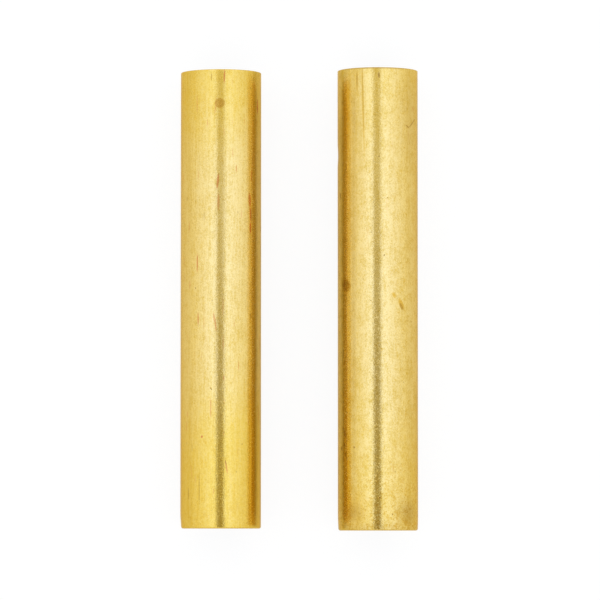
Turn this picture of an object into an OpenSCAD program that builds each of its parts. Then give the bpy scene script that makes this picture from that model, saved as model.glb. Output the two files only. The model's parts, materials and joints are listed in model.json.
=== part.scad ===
// A loose pair of plain brass tubes, lying side by side on a bench.
// Each is a cut length of thin drawn tube, open at both ends. The tubes lie along Y, their front ends
// face -Y, and the bench is the plane z = 0. The origin is on the bench, under the middle of the pair.

/* [Tubes] */

// Outside diameter of both tubes
tube_od = 10; // [6:0.1:20]

// Thickness of the drawn wall
wall = 0.45; // [0.42:0.01:1.5]

// Cut length of the left tube
left_length = 56.5; // [20:0.25:150]

// Cut length of the right tube
right_length = 57; // [20:0.25:150]

/* [Ends] */

// Radius that the tube cutter rolls onto the outer edge of the front ends
front_rim_r = 0.25; // [0.05:0.01:0.3]

// Radius on the outer edge of the back ends
back_rim_r = 0.08; // [0.02:0.01:0.3]

// Width of the deburring chamfer inside each mouth
mouth_chamfer = 0.08; // [0.02:0.01:0.1]

/* [Layout] */

// Clear space between the two tubes
gap = 9.45; // [1:0.05:60]

/* [Hidden] */

$fn = 96;

tube_r = tube_od / 2;
bore_r = tube_r - wall;
tube_spacing = tube_od + gap;

// How far a cutting shape reaches past the metal that it cuts
overcut = 0.5;

// What is cut from the wall's section at its upper end: the outer corner down to a
// quarter circle of radius rim_r, and a 45 degree chamfer inside the mouth.
module end_cuts(length, rim_r) {
    translate([tube_r - rim_r, length / 2 - rim_r])
        difference() {
            square(rim_r + overcut);
            circle(rim_r);
        }
    translate([bore_r, length / 2])
        rotate(45)
            square(mouth_chamfer * sqrt(2), center = true);
}

// The wall cut lengthwise, with its back end upwards
module wall_section(length) {
    difference() {
        translate([bore_r, -length / 2])
            square([wall, length]);
        end_cuts(length, back_rim_r);
        mirror([0, 1])
            end_cuts(length, front_rim_r);
    }
}

// One tube, lying on the bench with the middle of its length over the origin
module tube(length) {
    translate([0, 0, tube_r])
        rotate([-90, 0, 0])
            rotate_extrude()
                wall_section(length);
}

module tube_left() {
    color([0.87, 0.73, 0.35])
        translate([-tube_spacing / 2, 0, 0])
            tube(left_length);
}

module tube_right() {
    color([0.81, 0.67, 0.33])
        translate([tube_spacing / 2, 0, 0])
            tube(right_length);
}

tube_left();
tube_right();
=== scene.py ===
"""The looks of a loose pair of plain brass tubes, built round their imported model.

The tubes lie along Y on the floor z = 0. Each is a cut length of thin drawn tube, swept from its wall
section by Geometry Nodes, with the slight out-of-round, waves and rolled-in edge that a real one has.
"""

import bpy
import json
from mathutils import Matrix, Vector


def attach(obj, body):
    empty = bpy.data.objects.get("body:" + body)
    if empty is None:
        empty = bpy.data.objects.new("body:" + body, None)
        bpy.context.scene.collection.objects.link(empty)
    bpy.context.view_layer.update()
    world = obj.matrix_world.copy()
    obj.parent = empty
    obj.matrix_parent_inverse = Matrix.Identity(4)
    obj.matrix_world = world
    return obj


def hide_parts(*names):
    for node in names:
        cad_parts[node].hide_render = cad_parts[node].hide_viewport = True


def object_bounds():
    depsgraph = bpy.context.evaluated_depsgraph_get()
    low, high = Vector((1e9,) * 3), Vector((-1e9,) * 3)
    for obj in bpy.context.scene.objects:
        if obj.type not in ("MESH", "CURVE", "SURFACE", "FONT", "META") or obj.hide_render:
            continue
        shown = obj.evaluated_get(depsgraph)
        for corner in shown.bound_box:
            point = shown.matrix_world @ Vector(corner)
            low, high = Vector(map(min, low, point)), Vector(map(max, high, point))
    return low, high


bl_info = {
    "name": "Brass Tube Pair",
    "version": (1, 0, 0),
    "blender": (4, 5, 0),
    "location": "3D View > Sidebar > Brass Tubes",
    "description": "A pair of drawn brass tubes with their streaks, stains and cut ends, in a pale studio",
    "category": "Add Mesh",
}

import json
import math
from types import SimpleNamespace
from typing import NamedTuple

import bpy
from bpy.props import FloatProperty, FloatVectorProperty, IntProperty, PointerProperty
from mathutils import Vector

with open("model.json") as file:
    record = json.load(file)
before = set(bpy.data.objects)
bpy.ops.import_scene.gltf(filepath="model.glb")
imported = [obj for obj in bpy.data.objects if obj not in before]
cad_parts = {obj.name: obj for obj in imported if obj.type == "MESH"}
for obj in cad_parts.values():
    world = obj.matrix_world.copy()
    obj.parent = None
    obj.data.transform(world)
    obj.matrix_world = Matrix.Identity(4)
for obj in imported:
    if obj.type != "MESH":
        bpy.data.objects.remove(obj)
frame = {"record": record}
CAD_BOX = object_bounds()
MM = 0.001


# ---------------------------------------------------------------- sizes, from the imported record


def mount(name):
    """The record's mount of that name."""
    return next(m for m in frame["record"]["mounts"] if m["name"] == name)


def tube_size(side):
    """One tube's sizes and place, in metres, from its mounts."""
    bore, outside = mount(f"{side}_bore"), mount(f"{side}_outside")
    front, back = (mount(f"{side}_{end}_end")["pos_m"][1] for end in ("front", "back"))
    straight = outside["dims"]["length_mm"] * MM / 2
    return SimpleNamespace(
        centre=Vector((outside["pos_m"][0], 0, outside["pos_m"][2])),
        radius=outside["dims"]["r_mm"] * MM,
        wall=(outside["dims"]["r_mm"] - bore["dims"]["r_mm"]) * MM,
        front=front,
        back=back,
        front_rim=outside["pos_m"][1] - straight - front,
        back_rim=back - outside["pos_m"][1] - straight,
        mouth_chamfer=(back - front - bore["dims"]["length_mm"] * MM) / 2,
    )


# ---------------------------------------------------------------- node trees, written as Python


class Socket:
    """A node's output. Arithmetic on it adds Math nodes to its tree."""

    def __init__(self, graph, output):
        self.graph = graph
        self.output = output

    def out(self, name):
        """Another output of the same node."""
        return Socket(self.graph, find_socket(self.output.node.outputs, name))

    def __add__(self, other):
        return self.graph.math("ADD", self, other)

    def __radd__(self, other):
        return self.graph.math("ADD", other, self)

    def __sub__(self, other):
        return self.graph.math("SUBTRACT", self, other)

    def __rsub__(self, other):
        return self.graph.math("SUBTRACT", other, self)

    def __mul__(self, other):
        return self.graph.math("MULTIPLY", self, other)

    def __rmul__(self, other):
        return self.graph.math("MULTIPLY", other, self)

    def __truediv__(self, other):
        return self.graph.math("DIVIDE", self, other)

    def __pow__(self, other):
        return self.graph.math("POWER", self, other)

    def __gt__(self, other):
        return self.graph.math("GREATER_THAN", self, other)

    def __lt__(self, other):
        return self.graph.math("LESS_THAN", self, other)

    def __abs__(self):
        return self.graph.math("ABSOLUTE", self)


def find_socket(sockets, key):
    """A socket by its place, its identifier or its name."""
    if isinstance(key, int):
        return sockets[key]
    return next((s for s in sockets if s.identifier == key), None) or sockets[key]


class Graph:
    """A node tree that is being written, for a material, a world or Geometry Nodes."""

    def __init__(self, tree):
        self.tree = tree

    def node(self, kind, settings=None, inputs=None, output=0):
        """Adds a node. Its settings are set first, then each input gets a value or a link."""
        made = self.tree.nodes.new(kind)
        for name, value in (settings or {}).items():
            setattr(made, name, value)
        for key, value in (inputs or {}).items():
            socket = find_socket(made.inputs, key)
            if isinstance(value, Socket):
                self.tree.links.new(value.output, socket)
            else:
                socket.default_value = value
        return Socket(self, find_socket(made.outputs, output)) if made.outputs else made

    def math(self, operation, *values):
        """That operation on numbers."""
        return self.node("ShaderNodeMath", {"operation": operation}, dict(enumerate(values)))

    def vector(self, operation, *values, output=0):
        """That operation on vectors."""
        return self.node("ShaderNodeVectorMath", {"operation": operation}, dict(enumerate(values)), output)

    def scaled(self, vector, factor):
        """A vector times a number."""
        inputs = {"Vector": vector, "Scale": factor}
        return self.node("ShaderNodeVectorMath", {"operation": "SCALE"}, inputs)

    def split(self, vector):
        """A vector's x, y and z."""
        x = self.node("ShaderNodeSeparateXYZ", None, {0: vector})
        return x, x.out("Y"), x.out("Z")

    def joined(self, x, y, z):
        """The vector with that x, y and z."""
        return self.node("ShaderNodeCombineXYZ", None, {"X": x, "Y": y, "Z": z})

    def between(self, factor, low, high):
        """A number that goes from low to high as factor goes from 0 to 1."""
        inputs = {"Factor_Float": factor, "A_Float": low, "B_Float": high}
        return self.node("ShaderNodeMix", {"data_type": "FLOAT"}, inputs, "Result_Float")

    def mixed(self, factor, under, over):
        """The colour over laid on the colour under by factor."""
        inputs = {"Factor_Float": factor, "A_Color": colour(under), "B_Color": colour(over)}
        return self.node("ShaderNodeMix", {"data_type": "RGBA"}, inputs, "Result_Color")

    def ease(self, value, start, end):
        """0 up to start, 1 from end on, and a smooth step between."""
        inputs = {"Value": value, "From Min": start, "From Max": end}
        return self.node("ShaderNodeMapRange", {"interpolation_type": "SMOOTHSTEP"}, inputs)

    def ramp(self, value, start, end):
        """0 up to start, 1 from end on, and a straight line between."""
        return self.node("ShaderNodeMapRange", None, {"Value": value, "From Min": start, "From Max": end})

    def noise(self, vector, scale, detail=2.0, roughness=0.5, seed=0.0):
        """Even noise from 0 to 1 round 0.5. The scale is in waves a unit."""
        inputs = {"Vector": vector, "W": seed, "Scale": scale, "Detail": detail, "Roughness": roughness}
        return self.node("ShaderNodeTexNoise", {"noise_dimensions": "4D"}, inputs)


def colour(value):
    """A colour socket, or a colour written as three numbers with its alpha added."""
    return value if isinstance(value, Socket) else (*value, 1)


# ---------------------------------------------------------------- what a user would change


class TubeShape(bpy.types.PropertyGroup):
    """How far a real tube strays from a perfect one"""

    out_of_round: FloatProperty(
        name="Out of Round", description="How far in the tube's two flatter sides are",
        default=0.03 * MM, unit="LENGTH", precision=5)
    waviness: FloatProperty(
        name="Waviness", description="Height of the long shallow waves that drawing leaves in the wall",
        default=0.02 * MM, unit="LENGTH", precision=5)
    roll_in: FloatProperty(
        name="Roll In", description="How far the tube cutter pressed the front end inwards",
        default=0.1 * MM, unit="LENGTH", precision=5)
    roll_length: FloatProperty(
        name="Roll Length", description="Length of the front end that the tube cutter pressed inwards",
        default=2.2 * MM, unit="LENGTH", precision=5)
    ring_spacing: FloatProperty(
        name="Ring Spacing", description="Distance between the outside's rings of points",
        default=0.3 * MM, unit="LENGTH", precision=5)
    segments: IntProperty(
        name="Segments", description="Points in each ring", default=192, min=48, max=256)


class BrassFinish(bpy.types.PropertyGroup):
    """The colours of the brass and of what has settled on it"""

    clean: FloatVectorProperty(
        name="Clean Brass", description="Colour of the bright drawn metal",
        default=(0.85, 0.65, 0.23), subtype="COLOR", min=0, max=1)
    dull: FloatVectorProperty(
        name="Dull Brass", description="Colour of the fine streaks and mottling",
        default=(0.68, 0.46, 0.085), subtype="COLOR", min=0, max=1)
    # also the colour of the painted reflection lines along the tubes' inner flanks
    golden: FloatVectorProperty(
        name="Golden Film", description="Colour of the thin film towards the tubes' ends",
        default=(0.79, 0.55, 0.08), subtype="COLOR", min=0, max=1)
    amber: FloatVectorProperty(
        name="Amber Film", description="Colour of the film where it is thickest, in blotches and streaks",
        default=(0.69, 0.42, 0.05), subtype="COLOR", min=0, max=1)
    # also the colour of painted shade: a stripe along the right tube's inner flank and a line along its
    # back rim
    tarnish_and_shade: FloatVectorProperty(
        name="Tarnish", description="Colour of the brown clouds, spots and scratches",
        default=(0.37, 0.20, 0.035), subtype="COLOR", min=0, max=1)
    copper: FloatVectorProperty(
        name="Copper Red", description="Colour of the red streaks where zinc has left the surface",
        default=(0.62, 0.23, 0.055), subtype="COLOR", min=0, max=1)
    edge: FloatVectorProperty(
        name="Edge Tint", description="Tint of the metal seen at a glancing angle",
        default=(0.93, 0.80, 0.55), subtype="COLOR", min=0, max=1)
    roughness: FloatProperty(
        name="Roughness", description="Roughness of the clean drawn metal",
        default=0.16, min=0.05, max=0.6, subtype="FACTOR")
    pitting: FloatProperty(
        name="Pitting", description="How much rougher the metal is in its fine pits",
        default=0.2, min=0, max=0.6, subtype="FACTOR")
    grain_depth: FloatProperty(
        name="Grain Depth", description="Height of the finest draw lines and grain",
        default=0.02 * MM, unit="LENGTH", precision=5)


class Studio(bpy.types.PropertyGroup):
    """The floor, the light and the camera"""

    camera_height: FloatProperty(
        name="Camera Height", description="Height of the camera over the floor, above the front ends",
        default=530 * MM, unit="LENGTH")
    aim: FloatVectorProperty(
        name="Aim", description="How far from the middle of the pair the camera is aimed",
        default=(0.085 * MM, 0.04 * MM, 0), subtype="TRANSLATION", unit="LENGTH", precision=5)
    lens: FloatProperty(
        name="Lens", description="Focal length on a 36 mm sensor", default=254.5, min=50, max=500)
    top_light: FloatVectorProperty(
        name="Top Light", description="Cool light of the tent near its top, where 1 is white",
        default=(1.27, 1.43, 2.15), subtype="COLOR", min=0, max=3)
    side_light: FloatVectorProperty(
        name="Side Light", description="Warmer light of the tent at its foot, where 1 is white",
        default=(0.95, 0.92, 0.75), subtype="COLOR", min=0, max=3)
    gap_light: FloatVectorProperty(
        name="Gap Light", description="What shows through the gap along the top of the tent",
        default=(0.9, 0.86, 0.62), subtype="COLOR", min=0, max=3)
    camera_shade: FloatVectorProperty(
        name="Camera Shade", description="The dark camera, as the tubes see it in the gap",
        default=(0.45, 0.415, 0.31), subtype="COLOR", min=0, max=3)
    room_light: FloatProperty(
        name="Room Light", description="Brightness of the room as it lights the floor, where 1 is white",
        default=1.0, min=0, max=2)
    floor_colour: FloatVectorProperty(
        name="Floor", description="Colour of the floor",
        default=(0.93, 0.9, 0.81), subtype="COLOR", min=0, max=1)
    floor_white: FloatProperty(
        name="Floor White", description="How much of the floor's shadow the camera loses in plain white",
        default=0.85, min=0, max=1)


# ---------------------------------------------------------------- the tube's shape

RIM_STEPS = 6  # straight pieces in each rolled edge
BORE_SPACING = 4  # how much further apart the bore's rings are than the outside's
SMOOTH_ANGLE = math.radians(35)  # edges sharper than this stay crisp
OVAL_TWIST = 40  # how far the oval's wave shifts along the tube, in radians a metre
WAVE_SCALE = 160  # how many waves the wall has in a metre, across the tube
WAVE_SHARE = 0.3  # how many it has along the tube for each one across
ROLL_CURVE = 1.5  # how the rolled-in end curves: 1 would follow an even S
END_NORMAL = 0.65  # a face whose normal runs this much along the tube is part of a cut end


def add_inputs(tree, wanted):
    """Adds the group inputs named under each socket type, and returns each name's identifier."""
    made = {}
    for kind, names in wanted.items():
        for name in names:
            made[name] = tree.interface.new_socket(name, in_out="INPUT", socket_type=kind).identifier
    return made


TUBE_INPUTS = {
    "NodeSocketFloat": (
        "Outside Radius", "Wall", "Front", "Back", "Front Rim", "Back Rim", "Mouth Chamfer",
        "Ring Spacing", "Out of Round", "Waviness", "Roll In", "Roll Length", "Rolled Side",
        "Dent Depth", "Dent Size", "Seed",
    ),
    "NodeSocketInt": ("Segments",),
    "NodeSocketVector": ("Centre", "Dent Centre"),
    "NodeSocketMaterial": ("Outside", "Bore", "Cut Ends"),
}


def wall_section(g, given):
    """The closed outline of the wall cut lengthwise: x runs outwards and y towards the front end."""
    length = given.out("Back") - given.out("Front")
    sizes = {"Width": given.out("Wall"), "Height": length}
    outline = g.node("GeometryNodeCurvePrimitiveQuadrilateral", {"mode": "RECTANGLE"}, sizes)
    x, y, _ = g.split(g.node("GeometryNodeInputPosition"))
    outer = x > 0
    rim = g.between(y > 0, given.out("Back Rim"), given.out("Front Rim"))
    corners = {
        "Curve": outline,
        "Count": g.between(outer, 1, RIM_STEPS),
        "Radius": g.between(outer, given.out("Mouth Chamfer"), rim),
        "Limit Radius": True,
    }
    outline = g.node("GeometryNodeFilletCurve", {"mode": "POLY"}, corners)
    rings = {"Curve": outline, "Cuts": ring_cuts(g, given, outer)}
    return g.node("GeometryNodeSubdivideCurve", None, rings)


def ring_cuts(g, given, outer):
    """How many times each straight stretch of the wall section is cut."""
    here = g.node("GeometryNodeInputPosition")
    step = {"Point Index": g.node("GeometryNodeInputIndex"), "Offset": 1}
    after = g.node("GeometryNodeOffsetPointInCurve", None, step, "Point Index")
    there = g.node("GeometryNodeFieldAtIndex", {"data_type": "FLOAT_VECTOR", "domain": "POINT"},
                   {"Index": after, "Value": here})
    stretch = g.vector("DISTANCE", here, there, output="Value")
    spacing = given.out("Ring Spacing") * g.between(outer, BORE_SPACING, 1)
    return g.math("FLOOR", stretch / spacing)


def swept_tube(g, given):
    """The wall section swept round the axis, turned along Y and put in its place."""
    middle = given.out("Outside Radius") - given.out("Wall") / 2
    ring = {"Resolution": given.out("Segments"), "Radius": middle}
    ring = g.node("GeometryNodeCurvePrimitiveCircle", {"mode": "RADIUS"}, ring)
    section = wall_section(g, given)
    mesh = g.node("GeometryNodeCurveToMesh", None, {"Curve": ring, "Profile Curve": section})
    x, _, z = g.split(given.out("Centre"))
    middle_y = (given.out("Front") + given.out("Back")) / 2
    placed = {
        "Geometry": mesh,
        "Translation": g.joined(x, middle_y, z),
        "Rotation": (math.radians(-90), 0, 0),
    }
    return g.node("GeometryNodeTransform", None, placed)


def relief(g, given):
    """How far each point of the wall lies inside the perfect tube, as a vector towards the axis."""
    here = g.node("GeometryNodeInputPosition")
    x, y, z = g.split(g.vector("SUBTRACT", here, given.out("Centre")))
    turn = g.math("ARCTAN2", x, z)
    oval = (1 - g.math("COSINE", turn * 2 + y * OVAL_TWIST + given.out("Seed"))) / 2
    waves = g.noise(g.joined(x, y * WAVE_SHARE, z), WAVE_SCALE, detail=1.0, seed=given.out("Seed"))
    near_front = g.ease(y, given.out("Front") + given.out("Roll Length"), given.out("Front"))
    side = 0.5 + g.math("SINE", turn) * given.out("Rolled Side") / 2
    away = g.vector("DISTANCE", here, given.out("Dent Centre"), output="Value")
    dent = g.ease(away / given.out("Dent Size"), 1, 0)
    inward = (given.out("Out of Round") * oval + given.out("Waviness") * waves
              + given.out("Roll In") * near_front ** ROLL_CURVE * side + given.out("Dent Depth") * dent)
    outwards = g.vector("NORMALIZE", g.joined(x, 0, z))
    return g.scaled(outwards, 0 - inward)


def faces_of(g, given):
    """Which faces are the bore's and which are the cut ends'."""
    x, _, z = g.split(g.vector("SUBTRACT", g.node("GeometryNodeInputPosition"), given.out("Centre")))
    reach = g.vector("LENGTH", g.joined(x, 0, z), output="Value")
    _, along, _ = g.split(g.node("GeometryNodeInputNormal"))
    end = abs(along) > END_NORMAL
    bore = reach < given.out("Outside Radius") - given.out("Wall") / 2
    return bore, end


def tube_tree():
    """The Geometry Nodes tree of a drawn tube, and its inputs' identifiers."""
    tree = bpy.data.node_groups.new("Drawn Tube", "GeometryNodeTree")
    names = add_inputs(tree, TUBE_INPUTS)
    tree.interface.new_socket("Geometry", in_out="OUTPUT", socket_type="NodeSocketGeometry")
    g = Graph(tree)
    given = g.node("NodeGroupInput")
    mesh = swept_tube(g, given)
    mesh = g.node("GeometryNodeSetPosition", None, {"Geometry": mesh, "Offset": relief(g, given)})
    smooth = {"Geometry": mesh, "Shade Smooth": True}
    mesh = g.node("GeometryNodeSetShadeSmooth", {"domain": "FACE"}, smooth)
    sharp = g.node("GeometryNodeInputMeshEdgeAngle") > SMOOTH_ANGLE
    crisp = {"Geometry": mesh, "Selection": sharp, "Shade Smooth": False}
    mesh = g.node("GeometryNodeSetShadeSmooth", {"domain": "EDGE"}, crisp)
    mesh = g.node("GeometryNodeRealizeInstances", None, {"Geometry": mesh})
    bore, end = faces_of(g, given)
    for chosen, material in ((True, "Outside"), (bore, "Bore"), (end, "Cut Ends")):
        finished = {"Geometry": mesh, "Selection": chosen, "Material": given.out(material)}
        mesh = g.node("GeometryNodeSetMaterial", None, finished)
    g.node("NodeGroupOutput", None, {"Geometry": mesh})
    return tree, names


def grow_tube(name, values):
    """A plain mesh object grown by the tube tree, with its place in its mesh."""
    piece = bpy.data.objects.new(name, bpy.data.meshes.new(name))
    bpy.context.scene.collection.objects.link(piece)
    tree, names = tube_tree()
    modifier = piece.modifiers.new("Drawn Tube", "NODES")
    modifier.node_group = tree
    for input_name, value in values.items():
        modifier[names[input_name]] = value
    bpy.context.view_layer.update()
    evaluated = piece.evaluated_get(bpy.context.evaluated_depsgraph_get())
    grown = bpy.data.meshes.new_from_object(evaluated)
    if not grown.polygons:
        raise RuntimeError(f"{name}: the tube tree made no faces")
    piece.modifiers.clear()
    piece.data = grown
    grown.name = name
    return piece


# ---------------------------------------------------------------- brass


def new_material(name):
    """An empty material and its graph."""
    made = bpy.data.materials.new(name)
    made.use_nodes = True
    made.node_tree.nodes.clear()
    return made, Graph(made.node_tree)


def finish_material(g, surface):
    """Gives the material its finished surface."""
    g.node("ShaderNodeOutputMaterial", None, {"Surface": surface})


def finish_brass(g, finish, metal, metallic, rough, depth, height):
    """Gives the material a brass surface of that colour and roughness, with its relief that deep."""
    bump = {"Strength": 1.0, "Distance": depth, "Height": height}
    surface = g.node("ShaderNodeBsdfPrincipled", None, {
        "Base Color": metal,
        "Metallic": metallic,
        "Roughness": rough,
        "Specular Tint": colour(finish.edge),
        "Normal": g.node("ShaderNodeBump", None, bump),
    })
    finish_material(g, surface)


def metal_place(g, size):
    """Where a point of the metal is, in millimetres from the middle of the tube's axis."""
    here = g.node("ShaderNodeTexCoord", None, None, "Object")
    point = g.scaled(g.vector("SUBTRACT", here, size.centre), 1 / MM)
    x, y, z = g.split(point)
    turn = g.math("ARCTAN2", x, z)
    unrolled = g.joined(turn * (size.radius / MM), y, 0)
    return SimpleNamespace(point=point, x=x, y=y, z=z, turn=turn, unrolled=unrolled)


class Pattern(NamedTuple):
    """A noise that a finish is made with."""

    scale: float  # waves a millimetre
    detail: float
    roughness: float = 0.5
    stretch: float = 1  # how much longer than wide it is
    offset: float = 0  # what its seed adds to the tube's seed


# the bare metal's draw lines, grain and mottling
THREADS = Pattern(7.5, 2.0, 0.6)
LINES = Pattern(3, 3.0, 0.6, stretch=4)
GRAIN = Pattern(5.5, 1.0, 0.7)
MOTTLE = Pattern(0.9, 4.0, 0.65)
CLOUDS = Pattern(0.18, 3.0, stretch=2.5)
# what has settled on it or eaten into it
FILM_PATCHES = Pattern(0.35, 3.0, 0.6, stretch=4)
BLOTCHES = Pattern(1.6, 4.0, 0.75, offset=4)
FRECKLES = Pattern(4.5, 1.0, offset=8)
DASHES = Pattern(3.2, 1.0, stretch=9, offset=1)
DASH_AREAS = Pattern(0.3, 1.0, offset=2)
PITS = Pattern(6.5, 1.0, 0.7, offset=6)
RAGGED = Pattern(3.5, 3.0, 0.6)  # the edges of the marks
# the bore's draw lines and oxide
BORE_LINES = Pattern(6, 3.0, 0.6, stretch=40)
BORE_PATCHES = Pattern(0.6, 4.0, stretch=3)


def spread(g, place, pattern, seed, stretch=1):
    """A pattern spread over the metal, and drawn out along the tube by its own stretch and this one."""
    longer = pattern.stretch * stretch
    point = place.point if longer == 1 else g.joined(place.x, place.y / longer, place.z)
    return g.noise(point, pattern.scale, pattern.detail, pattern.roughness, seed + pattern.offset)


def towards(g, place, end, start, full):
    """0 up to start and 1 from full on, which are shares of the way from the tube's middle to that end."""
    return g.ease(place.y, end / MM * start, end / MM * full)


class Mark(NamedTuple):
    """One stain or scratch on a tube's outside, or a line of painted reflection or painted shade along it.
    """

    finish: str  # the golden film, amber, copper red or tarnish; a few golden and tarnish marks are painted reflection and painted shade
    turn: float  # degrees round from the crest, towards +X
    along: float  # millimetres from the tube's middle, towards the back end
    width: float  # millimetres round the tube
    length: float  # millimetres along it
    strength: float = 0.6
    slant: float = 0.0  # degrees that the back end of the mark leans towards +X
    soft: float = 0.3  # from 0, a crisp edge, to 1, a cloud


class Wear(NamedTuple):
    """What has happened to one tube's surface, with a few lines of painted reflection and painted shade
    among its marks. Every number but the seed and stretch is from 0 to 1.
    """

    seed: float
    stretch: float  # how much longer than wide the fine streaks are
    streaks: float
    mottle: float
    haze: float
    pits: float
    dullness: float
    golden_front: float
    golden_back: float
    blotches: float
    dashes: float
    specks: float
    marks: tuple


MARK_RAGGEDNESS = 1.2  # how widely the softest mark's edge wanders, where half its width is 1

FILM_AT_FRONT = (0.2, 0.85)  # where the golden film starts and is full, on the way to the front end
FILM_AT_BACK = (0.4, 0.95)  # and on the way to the back end
FILM_PATCHINESS = 0.9
FILM_RANGE = (-0.1, 1.1)  # what counts as no film and as full film

BLOTCHES_AT_FRONT = (0.5, 1)  # where blotches start to gather and are thickest, on the way to the front end
BLOTCH_RANGE = (0.58, 0.74)  # the noise where a blotch starts and where it is full
BLOTCH_GATHERING = 0.09  # what the front end adds to that noise
FRECKLE_RANGE = (0.54, 0.66)

DASH_RANGE = (0.70, 0.78)
DASH_GATHERING = 0.25  # how much the dashes keep to some areas
DASH_STRENGTH = 0.5

SPECK_RANGE = (0.13, 0.06)  # millimetres from a speck's middle to its edge and to its full dark
SPECK_SPREAD = 0.2  # how much smaller than that some are, down to nothing
SPECK_STRENGTH = 0.6


def marked(g, place, size, wear, finish):
    """How strongly the tube's marks of that finish show, from 0 to 1."""
    ragged = (spread(g, place, RAGGED, wear.seed) - 0.5) * MARK_RAGGEDNESS
    total = 0.0
    for mark in wear.marks:
        if mark.finish != finish:
            continue
        centre = (math.radians(mark.turn) * size.radius / MM, mark.along, 0)
        away = g.vector("SUBTRACT", place.unrolled, centre)
        if mark.slant:
            turned = {"Vector": away, "Angle": math.radians(mark.slant)}
            away = g.node("ShaderNodeVectorRotate", {"rotation_type": "Z_AXIS"}, turned)
        away = g.vector("MULTIPLY", away, (2 / mark.width, 2 / mark.length, 0))
        reach = g.vector("LENGTH", away, output="Value")
        inside = g.ease(reach + ragged * mark.soft, 1 + mark.soft, 1 - mark.soft) * mark.strength
        total = g.math("MAXIMUM", total, inside)
    return total


def golden_film(g, place, size, wear):
    """How golden the film is: patchy, and more towards the ends."""
    patches = spread(g, place, FILM_PATCHES, wear.seed)
    at_front = towards(g, place, size.front, *FILM_AT_FRONT) * wear.golden_front
    at_back = towards(g, place, size.back, *FILM_AT_BACK) * wear.golden_back
    return g.ease(at_front + at_back + (patches - 0.5) * FILM_PATCHINESS, *FILM_RANGE)


def blotches(g, place, size, wear):
    """Where the film has gone amber: ragged blotches, most of them at the front end, and freckles there."""
    near_front = towards(g, place, size.front, *BLOTCHES_AT_FRONT)
    spots = spread(g, place, BLOTCHES, wear.seed)
    spots = g.ease(spots + near_front * BLOTCH_GATHERING, *BLOTCH_RANGE)
    freckles = g.ease(spread(g, place, FRECKLES, wear.seed), *FRECKLE_RANGE) * near_front
    return g.math("MAXIMUM", spots, freckles) * wear.blotches


def red_dashes(g, place, wear):
    """Short red dashes along the tube, where zinc has left the surface."""
    dash = spread(g, place, DASHES, wear.seed)
    area = spread(g, place, DASH_AREAS, wear.seed)
    dash = g.ease(dash + (area - 0.5) * DASH_GATHERING, *DASH_RANGE)
    return dash * (DASH_STRENGTH * wear.dashes)


def dark_specks(g, place, wear):
    """Dark specks of many sizes, at most one in each cell about a millimetre across."""
    cells = g.node("ShaderNodeTexVoronoi", None, {"Vector": place.point, "Scale": 1.0}, "Distance")
    smaller, _, _ = g.split(cells.out("Color"))
    return g.ease(cells + smaller * SPECK_SPREAD, *SPECK_RANGE) * (SPECK_STRENGTH * wear.specks)


# how far each pattern takes the metal from clean to dull, and how dull the metal is without them
STREAK_TINT = 1.7
GRAIN_TINT = 1.8
MOTTLE_TINT = 2.0
CLOUD_TINT = 0.8
MEAN_TINT = 0.25

FILM_COVER = 0.85  # how much of the metal a full film hides
FILM_STREAKS = 0.35  # and how much that varies with the streaks
FILM_AMBER = 0.05  # how amber the golden film is
FILM_AMBER_STREAKS = 0.8  # and how much that varies with the streaks
BLOTCH_BROWN = 0.12  # how brown the amber blotches are

PIT_RANGE = (0.52, 0.68)  # the noise where a pit starts and where it is full
PITS_AT_BACK = 0.4  # how rough the pits are at the back end, where 1 is how rough they are at the front
PITS_FULL = 0.4  # the share of the way to the front end where they are at their roughest
HAZE_AT_FRONT = 0.2  # how much haze there is at the front end, where 1 is how much there is at the back
BACK_ZONE = 0.7  # the share of the way to the back end where pits and haze start to change

# what each adds to the roughness
HAZE_ROUGH = 0.1
MOTTLE_ROUGH = 0.1
TARNISH_ROUGH = 0.12
DULLNESS_ROUGH = 0.1

# what each adds to the relief, in grain depths
STREAK_RELIEF = 0.2
GRAIN_RELIEF = 0.4
TARNISH_RELIEF = 0.4  # taken away, because tarnish eats into the metal


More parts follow.
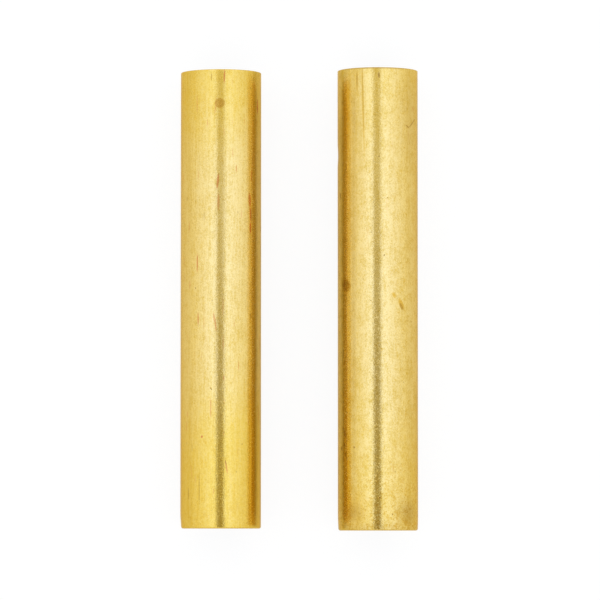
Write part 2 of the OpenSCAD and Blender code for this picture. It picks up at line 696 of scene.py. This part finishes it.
def outside_brass(name, size, finish, wear):
    """The drawn outside: draw streaks and mottling, a golden film, red dashes, specks and marks, a few of
    them painted reflection and painted shade.
    """
    made, g = new_material(name)
    place = metal_place(g, size)
    seed = wear.seed

    threads = spread(g, place, THREADS, seed, wear.stretch) - 0.5
    lines = spread(g, place, LINES, seed, wear.stretch) - 0.5
    grain = spread(g, place, GRAIN, seed) - 0.5
    mottle = spread(g, place, MOTTLE, seed) - 0.5
    clouds = spread(g, place, CLOUDS, seed) - 0.5
    fine = (threads + lines) * (STREAK_TINT * wear.streaks) + grain * GRAIN_TINT
    fine = fine + mottle * (MOTTLE_TINT * wear.mottle)
    tint = fine + clouds * (CLOUD_TINT * wear.mottle) + (MEAN_TINT + wear.dullness)
    metal = g.mixed(tint, finish.clean, finish.dull)

    # the golden film and the golden marks, among them painted reflection lines along the inner flanks
    film = golden_film(g, place, size, wear) + marked(g, place, size, wear, "golden")
    film = g.math("MINIMUM", film, 1.0) * (fine * FILM_STREAKS + FILM_COVER)
    film_colour = g.mixed(fine * FILM_AMBER_STREAKS + FILM_AMBER, finish.golden, finish.amber)
    metal = g.mixed(film, metal, film_colour)
    spots = blotches(g, place, size, wear)
    amber = g.math("MAXIMUM", spots, marked(g, place, size, wear, "amber"))
    metal = g.mixed(amber, metal, finish.amber)
    copper = g.math("MAXIMUM", red_dashes(g, place, wear), marked(g, place, size, wear, "copper"))
    metal = g.mixed(copper, metal, finish.copper)
    # dark specks and tarnish marks, among them painted shade along the right tube's inner flank and back
    # rim
    tarnish_and_shade = g.math("MAXIMUM", dark_specks(g, place, wear), marked(g, place, size, wear, "tarnish_and_shade"))
    tarnish_and_shade = tarnish_and_shade + spots * BLOTCH_BROWN
    metal = g.mixed(tarnish_and_shade, metal, finish.tarnish_and_shade)

    front, back = size.front / MM, size.back / MM
    pits = g.ease(spread(g, place, PITS, seed), *PIT_RANGE)
    pits = pits * g.between(g.ease(place.y, back * BACK_ZONE, front * PITS_FULL), PITS_AT_BACK, 1.0)
    pits = pits * (finish.pitting * wear.pits)
    haze = g.between(g.ease(place.y, back * BACK_ZONE, front), 1.0, HAZE_AT_FRONT)
    haze = haze * (wear.haze * HAZE_ROUGH)
    rough = pits + haze + mottle * MOTTLE_ROUGH + tarnish_and_shade * TARNISH_ROUGH
    rough = rough + (finish.roughness + wear.dullness * DULLNESS_ROUGH)

    height = threads * (STREAK_RELIEF * wear.streaks) + grain * GRAIN_RELIEF - tarnish_and_shade * TARNISH_RELIEF
    finish_brass(g, finish, metal, 1.0, rough, finish.grain_depth, height)
    return made


BORE_TINT_RANGE = (0.35, 0.65)  # the noise where the bore is dull and where it is clean
OXIDE_RANGE = (0.5, 0.62)  # the noise where its oxide starts and where it is full
OXIDE_LINES = 0.4  # how far the oxide follows the draw lines, and for the rest the patches
OXIDE_COVER = 0.35
OXIDE_MATT = 0.25  # how much less metallic the oxide is
BORE_METALLIC = 0.85
BORE_ROUGHNESS = 0.3
BORE_LINE_ROUGH = 0.15
BORE_LINE_DEPTH = 0.003 * MM


def bore_brass(name, size, finish, seed):
    """The bore: duller and rougher, with draw lines along it and a patchy oxide that is partly matt."""
    made, g = new_material(name)
    place = metal_place(g, size)
    lines = spread(g, place, BORE_LINES, seed)
    patches = spread(g, place, BORE_PATCHES, seed)
    metal = g.mixed(g.ease(patches, *BORE_TINT_RANGE), finish.dull, finish.clean)
    oxide = g.ease(patches * (1 - OXIDE_LINES) + lines * OXIDE_LINES, *OXIDE_RANGE)
    metal = g.mixed(oxide * OXIDE_COVER, metal, finish.tarnish_and_shade)
    metallic = BORE_METALLIC - oxide * OXIDE_MATT
    rough = BORE_ROUGHNESS + (lines - 0.5) * BORE_LINE_ROUGH
    finish_brass(g, finish, metal, metallic, rough, BORE_LINE_DEPTH, lines)
    return made


RING_SCALE = 14  # saw rings a millimetre
RING_DRIFT = 0.8  # how fast a ring changes on its way round, in millimetres of noise a radian
CUT_TINT_RANGE = (0.3, 0.7)
CUT_ROUGHNESS = 0.28
RING_ROUGH = 0.1
RING_DEPTH = 0.004 * MM


def cut_brass(name, size, finish, seed):
    """The cut ends: bright metal with the saw's fine rings."""
    made, g = new_material(name)
    place = metal_place(g, size)
    reach = g.math("SQRT", place.x * place.x + place.z * place.z)
    rings = g.noise(g.joined(reach, place.turn * RING_DRIFT, 0), RING_SCALE, detail=2.0, seed=seed)
    metal = g.mixed(g.ease(rings, *CUT_TINT_RANGE), finish.dull, finish.clean)
    rough = CUT_ROUGHNESS + (rings - 0.5) * RING_ROUGH
    finish_brass(g, finish, metal, 1.0, rough, RING_DEPTH, rings)
    return made


# ---------------------------------------------------------------- the two tubes


class Knocks(NamedTuple):
    """How one tube's shape has suffered. Lengths are in metres."""

    rolled_side: float  # the side that the tube cutter pressed in furthest: -1 is -X and 1 is +X
    dent_depth: float
    dent_size: float
    dent_turn: float  # degrees round from the crest, towards +X
    dent_along: float  # from the tube's middle, towards the back end
    seed: float  # where its oval and its waves start


LEFT_KNOCKS = Knocks(
    rolled_side=-1.0, dent_depth=0.02 * MM, dent_size=3 * MM, dent_turn=60, dent_along=-12 * MM, seed=3.0)
RIGHT_KNOCKS = Knocks(
    rolled_side=-0.3, dent_depth=0.1 * MM, dent_size=1.6 * MM, dent_turn=-85, dent_along=18 * MM, seed=7.0)


def on_outside(size, degrees, along):
    """A point on the outside, turned from the crest towards +X and that far along from the middle."""
    turn = math.radians(degrees)
    return size.centre + Vector((size.radius * math.sin(turn), along, size.radius * math.cos(turn)))


def make_tube(side, settings, wear, knocks):
    """One tube: its materials, its grown mesh, and its place on its body."""
    shape, finish = settings.shape, settings.finish
    size = tube_size(side)
    node = f"tube_{side}"
    values = {
        "Outside Radius": size.radius,
        "Wall": size.wall,
        "Front": size.front,
        "Back": size.back,
        "Front Rim": size.front_rim,
        "Back Rim": size.back_rim,
        "Mouth Chamfer": size.mouth_chamfer,
        "Centre": size.centre,
        "Segments": shape.segments,
        "Ring Spacing": shape.ring_spacing,
        "Out of Round": shape.out_of_round,
        "Waviness": shape.waviness,
        "Roll In": shape.roll_in,
        "Roll Length": shape.roll_length,
        "Rolled Side": knocks.rolled_side,
        "Dent Depth": knocks.dent_depth,
        "Dent Size": knocks.dent_size,
        "Dent Centre": on_outside(size, knocks.dent_turn, knocks.dent_along),
        "Seed": knocks.seed,
        "Outside": outside_brass(f"outside_{side}", size, finish, wear),
        "Bore": bore_brass(f"bore_{side}", size, finish, wear.seed),
        "Cut Ends": cut_brass(f"cut_ends_{side}", size, finish, wear.seed),
    }
    piece = grow_tube(f"brass_tube_{side}", values)
    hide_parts(node)
    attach(piece, node)


LEFT_WEAR = Wear(
    seed=3.0, stretch=7, streaks=0.9, mottle=0.5, haze=0.85, pits=0.55, dullness=0.0,
    golden_front=1.0, golden_back=0.85, blotches=0.3, dashes=1.0, specks=0.6,
    marks=(
        # the round spot, and what is near the back end
        Mark("amber", -0.8, 24.05, 1.2, 1.2, 0.75, soft=0.12),
        Mark("copper", -0.8, 24.05, 1.1, 1.1, 0.2, soft=0.6),
        Mark("tarnish_and_shade", -0.8, 24.05, 1.2, 1.2, 0.26, soft=0.12),
        Mark("copper", 5.8, 27.4, 0.18, 1.7, 0.85, slant=2),
        Mark("tarnish_and_shade", -12.8, 27.3, 0.14, 1.0, 0.5),
        Mark("copper", -35.5, 24.0, 0.14, 2.2, 0.4),
        Mark("tarnish_and_shade", 47.7, 26.05, 0.16, 0.2, 0.7),
        Mark("copper", 66, 23.9, 0.35, 1.8, 0.9),
        Mark("copper", -78, 26.8, 0.4, 0.9, 0.4, soft=0.8),
        Mark("amber", -45, 0, 3.6, 70, 0.1, soft=1),
        Mark("golden", 30, -20, 5, 26, 0.5, soft=1),
        # painted reflection: a golden line the whole length of the inner flank, widening the amber band
        # where the other tube is mirrored
        Mark("golden", 58, 0, 0.6, 68, 0.6, soft=0.8),
        # red streaks along the middle
        Mark("copper", 23.4, 16.0, 0.14, 0.9, 0.6),
        Mark("copper", -3.5, 14.4, 0.28, 1.8, 0.75, slant=6),
        Mark("copper", -2.5, 11.9, 0.3, 2.0, 0.5),
        Mark("copper", 49.8, 15.2, 0.25, 1.4, 0.6),
        Mark("copper", 46.5, 12.2, 0.46, 1.7, 0.8, slant=-3),
        Mark("copper", 48.2, 10.5, 0.36, 1.8, 0.8, slant=-3),
        Mark("tarnish_and_shade", 50, 10.4, 0.16, 1.4, 0.55),
        Mark("copper", 48, 8.8, 0.3, 1.4, 0.9),
        Mark("copper", 31.5, 10.4, 0.15, 1.0, 0.3),
        Mark("tarnish_and_shade", 26, 10.6, 0.22, 0.26, 0.35, soft=0.6),
        Mark("tarnish_and_shade", -56, 12.4, 0.14, 0.5, 0.6),
        Mark("copper", -50.7, 8.9, 0.13, 1.2, 0.65),
        Mark("tarnish_and_shade", -23.4, 10.1, 0.35, 0.9, 0.22, soft=0.8),
        Mark("copper", -34.8, 4.4, 0.18, 2.2, 0.85),
        Mark("tarnish_and_shade", -37.8, 1.3, 0.18, 0.2, 0.7),
        Mark("copper", -33.1, -2.5, 0.16, 1.5, 0.8),
        Mark("copper", -9, -2.3, 0.14, 1.1, 0.6),
        Mark("copper", -6.8, -3.1, 0.18, 1.9, 0.65, slant=-6),
        Mark("copper", 73.8, -5.6, 0.25, 2.4, 0.5),
        Mark("copper", 4.1, -1.0, 0.13, 2.2, 0.4, soft=0.5),
        Mark("copper", 4.4, -5.6, 0.14, 1.8, 0.45, soft=0.5),
        Mark("tarnish_and_shade", 48.5, -2.1, 0.2, 0.8, 0.5),
        Mark("copper", 27.3, -8.3, 0.1, 1.2, 0.6),
        Mark("copper", 5.3, -9.8, 0.14, 0.6, 0.7),
        # towards the front end
        Mark("tarnish_and_shade", -13, -11.1, 0.12, 0.42, 0.85, slant=-35),
        Mark("copper", 69.7, -14.3, 0.25, 2.0, 0.5),
        Mark("copper", -26.7, -17.0, 0.26, 0.32, 0.95, slant=20),
        Mark("copper", 9.1, -20.7, 0.2, 1.6, 0.6, slant=-10),
        Mark("tarnish_and_shade", 8.2, -20.2, 0.14, 0.6, 0.4, slant=-10),
        Mark("tarnish_and_shade", -30.9, -23.4, 0.12, 3.4, 0.55, soft=0.6),
        Mark("tarnish_and_shade", -51.6, -24.0, 0.2, 1.5, 0.45),
        Mark("copper", -54.7, -14.2, 0.14, 0.7, 0.6),
        Mark("copper", -56.5, -15.7, 0.16, 1.3, 0.4),
        Mark("tarnish_and_shade", -44, -18.4, 0.1, 1.0, 0.4),
        Mark("tarnish_and_shade", -55.7, -17.8, 0.1, 0.4, 0.5),
        Mark("copper", -45.8, -20.8, 0.15, 0.8, 0.35),
        Mark("tarnish_and_shade", -20.3, -22.3, 0.12, 0.12, 0.5),
        Mark("tarnish_and_shade", 33.1, -17.9, 0.16, 0.2, 0.5),
        Mark("tarnish_and_shade", 40.2, -26.7, 0.14, 0.16, 0.45),
    ),
)

RIGHT_WEAR = Wear(
    seed=7.0, stretch=2.5, streaks=0.8, mottle=0.9, haze=0.38, pits=1.0, dullness=0.04,
    golden_front=0.45, golden_back=0.35, blotches=0.9, dashes=0.25, specks=1.0,
    marks=(
        # near the back end
        Mark("tarnish_and_shade", 0.7, 27.5, 0.22, 0.7, 0.75),
        Mark("amber", -22.2, 24.0, 0.24, 12, 0.8, slant=-1.5, soft=0.5),
        Mark("tarnish_and_shade", -22.4, 25, 0.15, 8, 0.35, slant=-1.5, soft=0.6),
        Mark("amber", -31.6, 26.6, 0.34, 3.4, 0.7, soft=0.6),
        Mark("tarnish_and_shade", -31.6, 27.0, 0.2, 2.2, 0.5, soft=0.5),
        Mark("tarnish_and_shade", -36.4, 22.3, 0.7, 7, 0.26, soft=0.9),
        Mark("tarnish_and_shade", -36, 13, 0.8, 16, 0.12, soft=0.9),
        Mark("amber", -37, 14, 1.8, 30, 0.35, soft=1),
        Mark("amber", -34, 5, 2.2, 70, 0.22, soft=1),
        # painted shade: a dark line along the back rim
        Mark("tarnish_and_shade", -5, 28.42, 9, 0.22, 0.5, soft=0.4),
        Mark("tarnish_and_shade", 47.3, 21.3, 0.2, 0.8, 0.65, slant=-62),
        Mark("tarnish_and_shade", 58.6, 21.8, 0.2, 2.0, 0.6, slant=52),
        Mark("tarnish_and_shade", 45.6, 23.5, 0.2, 0.6, 0.35, soft=0.6),
        Mark("copper", 61.4, 23.6, 0.5, 0.5, 0.35, soft=0.8),
        Mark("tarnish_and_shade", -30, 22, 2.2, 12, 0.1, soft=1),
        Mark("tarnish_and_shade", 52, 22.5, 3.5, 9, 0.16, soft=1),
        # the dull line along it, and stains round its middle
        Mark("tarnish_and_shade", -37.4, 2, 0.6, 60, 0.2, soft=0.9),
        Mark("tarnish_and_shade", -69, 12.9, 0.3, 0.9, 0.8, slant=-25),
        Mark("tarnish_and_shade", 8, 5.3, 0.15, 0.2, 0.8),
        Mark("amber", -53, 1.7, 1.8, 1.5, 0.9, slant=30, soft=0.4),
        Mark("tarnish_and_shade", -53, 1.7, 1.6, 1.3, 0.6, slant=30, soft=0.4),
        Mark("amber", 23, 0.4, 0.45, 0.7, 0.9, slant=-20, soft=0.5),
        Mark("amber", 34.5, -0.7, 0.6, 1.5, 0.9, slant=-28, soft=0.4),
        Mark("tarnish_and_shade", 35, -1.0, 0.4, 0.9, 0.6, slant=-28, soft=0.5),
        # towards the front end
        Mark("tarnish_and_shade", -60, -16.0, 0.35, 0.5, 0.6, soft=0.5),
        Mark("tarnish_and_shade", -55.5, -16.6, 0.5, 1.0, 0.6, soft=0.8),
        Mark("tarnish_and_shade", -65, -18.4, 0.35, 0.5, 0.9, soft=0.5),
        Mark("tarnish_and_shade", -57.5, -18.0, 0.35, 0.5, 0.55, soft=0.6),
        Mark("tarnish_and_shade", -54.6, -19.1, 0.4, 0.6, 0.45, soft=0.7),
        Mark("tarnish_and_shade", -37, -18.3, 0.22, 0.26, 0.8),
        Mark("tarnish_and_shade", 1.3, -24.5, 0.26, 0.26, 0.9),
        Mark("tarnish_and_shade", 19.7, -26.5, 0.17, 0.17, 0.95),
        Mark("amber", -34, -26.0, 2.6, 4.5, 0.6, soft=1),
        Mark("tarnish_and_shade", -39, -26.4, 2.2, 1.8, 0.35, soft=1),
        Mark("tarnish_and_shade", 47, -26.3, 2.6, 2.6, 0.45, soft=1),
        Mark("tarnish_and_shade", 0, -28.7, 16, 2.2, 0.18, soft=0.7),
        # painted reflection: a faint dark stripe the whole length of the inner flank, where the shaded
        # floor between the tubes is mirrored
        Mark("tarnish_and_shade", -68, 0, 1.0, 70, 0.2, soft=1),
        # painted reflection: a golden line the whole length of the inner flank, widening the amber band
        # where the other tube is mirrored
        Mark("golden", -61, 0, 1.0, 68, 1.0, soft=0.8),
    ),
)


class BRASS_TUBES_OT_left(bpy.types.Operator):
    """Make the brighter left tube"""

    bl_idname = "brass_tubes.left"
    bl_label = "Left Tube"

    def execute(self, context):
        make_tube("left", context.scene.brass_tubes, LEFT_WEAR, LEFT_KNOCKS)
        return {"FINISHED"}


class BRASS_TUBES_OT_right(bpy.types.Operator):
    """Make the duller right tube"""

    bl_idname = "brass_tubes.right"
    bl_label = "Right Tube"

    def execute(self, context):
        make_tube("right", context.scene.brass_tubes, RIGHT_WEAR, RIGHT_KNOCKS)
        return {"FINISHED"}


# ---------------------------------------------------------------- the stage

# lengths are in metres
FLOOR_SIZE = 3.0
FLOOR_WHITE = (1.035, 1.042, 1.06)  # a little over white, which makes up for the paper under it
TENT_RADIUS = 0.6
TENT_LENGTH = 1.4
TENT_STEPS = 24
TENT_GAP = math.radians(9)  # from straight up to each tent wall's upper edge
TENT_FOOT = math.radians(100)  # from straight up to each tent wall's lower edge
TENT_BRIGHT = math.radians(22)  # where the tent's light starts to fall off
TENT_PLAIN = math.radians(98)  # where it has fallen to the side light
TENT_FALL = 0.85  # how evenly it falls: below 1, faster near the top
TENT_CLOTH = 0.7  # how white the tent's cloth is
CARD_CLOTH = 0.3  # how white the cloth is that stands in for the camera
ROOM_ON_CLOTH = 0.96  # how bright a white cloth is in the room's light alone
CARD_CENTRE = -0.013
CARD_HALF_WIDTH = 0.095
CARD_FRONT = -1.2
CARD_BACK = 0.45
CARD_EDGE = 0.05  # where the dark of the camera gives way to the pale gap in the tent
CARD_BLUR = 0.01  # how far the one fades into the other on each side of that


def ray(g, kind):
    """1 for the rays of that kind, and 0 for the rest."""
    return g.node("ShaderNodeLightPath", None, None, f"Is {kind} Ray")


def seen_in(g):
    """1 for the rays that show a background off metal or through glass."""
    return g.math("MAXIMUM", ray(g, "Glossy"), ray(g, "Transmission"))


def add_camera(studio):
    """The camera, over the front ends and tilted towards the middle of the tubes."""
    low, high = CAD_BOX
    middle = (low + high) / 2 + Vector(studio.aim)
    made = bpy.data.objects.new("camera", bpy.data.cameras.new("camera"))
    bpy.context.scene.collection.objects.link(made)
    made.data.sensor_width = 36
    made.data.lens = studio.lens
    made.data.clip_start = 0.01
    made.location = (middle.x, low.y, studio.camera_height)
    made.rotation_euler = (middle - made.location).to_track_quat("-Z", "Y").to_euler()
    bpy.context.scene.camera = made


def add_world(studio):
    """The room's even light, which the camera and mirrored rays see as plain white."""
    world = bpy.data.worlds.new("room")
    bpy.context.scene.world = world
    world.use_nodes = True
    world.node_tree.nodes.clear()
    g = Graph(world.node_tree)
    strength = g.between(g.math("MAXIMUM", ray(g, "Camera"), seen_in(g)), studio.room_light, 1.0)
    light = g.node("ShaderNodeBackground", None, {"Color": (1, 1, 1, 1), "Strength": strength})
    g.node("ShaderNodeOutputWorld", None, {"Surface": light})


def stage_mesh(name, corners, faces):
    """A mesh object that is part of the stage."""
    mesh = bpy.data.meshes.new(name)
    mesh.from_pydata(corners, [], faces)
    made = bpy.data.objects.new(name, mesh)
    bpy.context.scene.collection.objects.link(made)
    return made


def flat_sheet(name, low_x, high_x, low_y, high_y, height):
    """A flat four-sided sheet that is part of the stage."""
    outline = [(low_x, low_y), (high_x, low_y), (high_x, high_y), (low_x, high_y)]
    return stage_mesh(name, [(x, y, height) for x, y in outline], [(0, 1, 2, 3)])


def add_floor(studio):
    """A floor of pale matt paper, whose shadows the camera sees only faintly."""
    half = FLOOR_SIZE / 2
    floor = flat_sheet("floor", -half, half, -half, half, 0)
    made, g = new_material("floor")
    paper = g.node("ShaderNodeBsdfDiffuse", None, {"Color": colour(tuple(studio.floor_colour))})
    white = g.node("ShaderNodeEmission", None, {"Color": colour(FLOOR_WHITE), "Strength": 1.0})
    mix = {"Fac": ray(g, "Camera") * studio.floor_white, 1: paper, 2: white}
    finish_material(g, g.node("ShaderNodeMixShader", None, mix))
    floor.data.materials.append(made)


def show_to_metal_only(sheet):
    """Leaves a sheet to be seen by shiny surfaces and by nothing else."""
    sheet.visible_camera = False
    sheet.visible_diffuse = False
    sheet.visible_shadow = False


def lit_cloth(g, cloth, light):
    """A matt cloth that is also lit from behind, so that all of it together gives off that light."""
    behind = g.vector("MAXIMUM", g.vector("SUBTRACT", light, (cloth * ROOM_ON_CLOTH,) * 3), (0, 0, 0))
    front = g.node("ShaderNodeBsdfDiffuse", None, {"Color": colour((cloth,) * 3)})
    glow = g.node("ShaderNodeEmission", None, {"Color": behind, "Strength": 1.0})
    finish_material(g, g.node("ShaderNodeAddShader", None, {0: front, 1: glow}))


def add_tent_wall(studio, side):
    """A curved wall of white cloth over one side, lit from behind and brightest near its top."""
    rows, faces = [], []
    for step in range(TENT_STEPS + 1):
        angle = TENT_GAP + (TENT_FOOT - TENT_GAP) * step / TENT_STEPS
        x, z = side * TENT_RADIUS * math.sin(angle), TENT_RADIUS * math.cos(angle)
        rows += [(x, -TENT_LENGTH / 2, z), (x, TENT_LENGTH / 2, z)]
    for step in range(TENT_STEPS):
        first = 2 * step
        faces.append((first, first + 1, first + 3, first + 2))
    wall = stage_mesh(f"tent_wall_{'left' if side < 0 else 'right'}", rows, faces)
    show_to_metal_only(wall)
    made, g = new_material("tent_cloth")
    x, _, z = g.split(g.node("ShaderNodeTexCoord", None, None, "Object"))
    fall = g.ramp(abs(g.math("ARCTAN2", x, z)), TENT_BRIGHT, TENT_PLAIN) ** TENT_FALL
    lit_cloth(g, TENT_CLOTH, g.mixed(fall, tuple(studio.top_light), tuple(studio.side_light)))
    wall.data.materials.append(made)


def add_camera_card(studio):
    """What the tubes see through the gap in the tent: the dark camera in front, and paleness behind it."""
    height = studio.camera_height
    low_x, high_x = CARD_CENTRE - CARD_HALF_WIDTH, CARD_CENTRE + CARD_HALF_WIDTH
    card = flat_sheet("camera_card", low_x, high_x, CARD_FRONT, CARD_BACK, height)
    show_to_metal_only(card)
    made, g = new_material("camera_card")
    _, along, _ = g.split(g.node("ShaderNodeTexCoord", None, None, "Object"))
    shade = g.ease(along, CARD_EDGE - CARD_BLUR, CARD_EDGE + CARD_BLUR)
    lit_cloth(g, CARD_CLOTH, g.mixed(shade, tuple(studio.camera_shade), tuple(studio.gap_light)))
    card.data.materials.append(made)


class BRASS_TUBES_OT_stage(bpy.types.Operator):
    """Make the camera, the pale floor and the soft light"""

    bl_idname = "brass_tubes.stage"
    bl_label = "Stage"

    def execute(self, context):
        studio = context.scene.brass_tubes.studio
        add_camera(studio)
        add_world(studio)
        add_floor(studio)
        for side in (-1, 1):
            add_tent_wall(studio, side)
        add_camera_card(studio)
        context.scene.view_settings.view_transform = "Standard"
        return {"FINISHED"}


# ---------------------------------------------------------------- the add-on


class BrassTubes(bpy.types.PropertyGroup):
    """Everything that can be set"""

    shape: PointerProperty(type=TubeShape, name="Shape", description="How far the tubes stray from perfect")
    finish: PointerProperty(type=BrassFinish, name="Finish", description="The colours of the brass")
    studio: PointerProperty(type=Studio, name="Studio", description="The floor, the light and the camera")


class BRASS_TUBES_PT_panel(bpy.types.Panel):
    """The settings and the operators, in the 3D view's sidebar"""

    bl_idname = "BRASS_TUBES_PT_panel"
    bl_label = "Brass Tubes"
    bl_space_type = "VIEW_3D"
    bl_region_type = "UI"
    bl_category = "Brass Tubes"

    def draw(self, context):
        settings = context.scene.brass_tubes
        for group in (settings.shape, settings.finish, settings.studio):
            box = self.layout.box()
            for name in group.__annotations__:
                box.prop(group, name)
        for operator in OPERATORS:
            self.layout.operator(operator.bl_idname)


OPERATORS = (BRASS_TUBES_OT_stage, BRASS_TUBES_OT_left, BRASS_TUBES_OT_right)
CLASSES = (TubeShape, BrassFinish, Studio, BrassTubes, *OPERATORS, BRASS_TUBES_PT_panel)


def register():
    """Registers the classes and the scene's settings."""
    for cls in CLASSES:
        bpy.utils.register_class(cls)
    bpy.types.Scene.brass_tubes = PointerProperty(type=BrassTubes)


def unregister():
    """Takes them away again."""
    del bpy.types.Scene.brass_tubes
    for cls in reversed(CLASSES):
        bpy.utils.unregister_class(cls)


def main():
    """Makes the stage and both tubes."""
    register()
    bpy.ops.brass_tubes.stage()
    bpy.ops.brass_tubes.left()
    bpy.ops.brass_tubes.right()


if __name__ == "__main__":
    main()
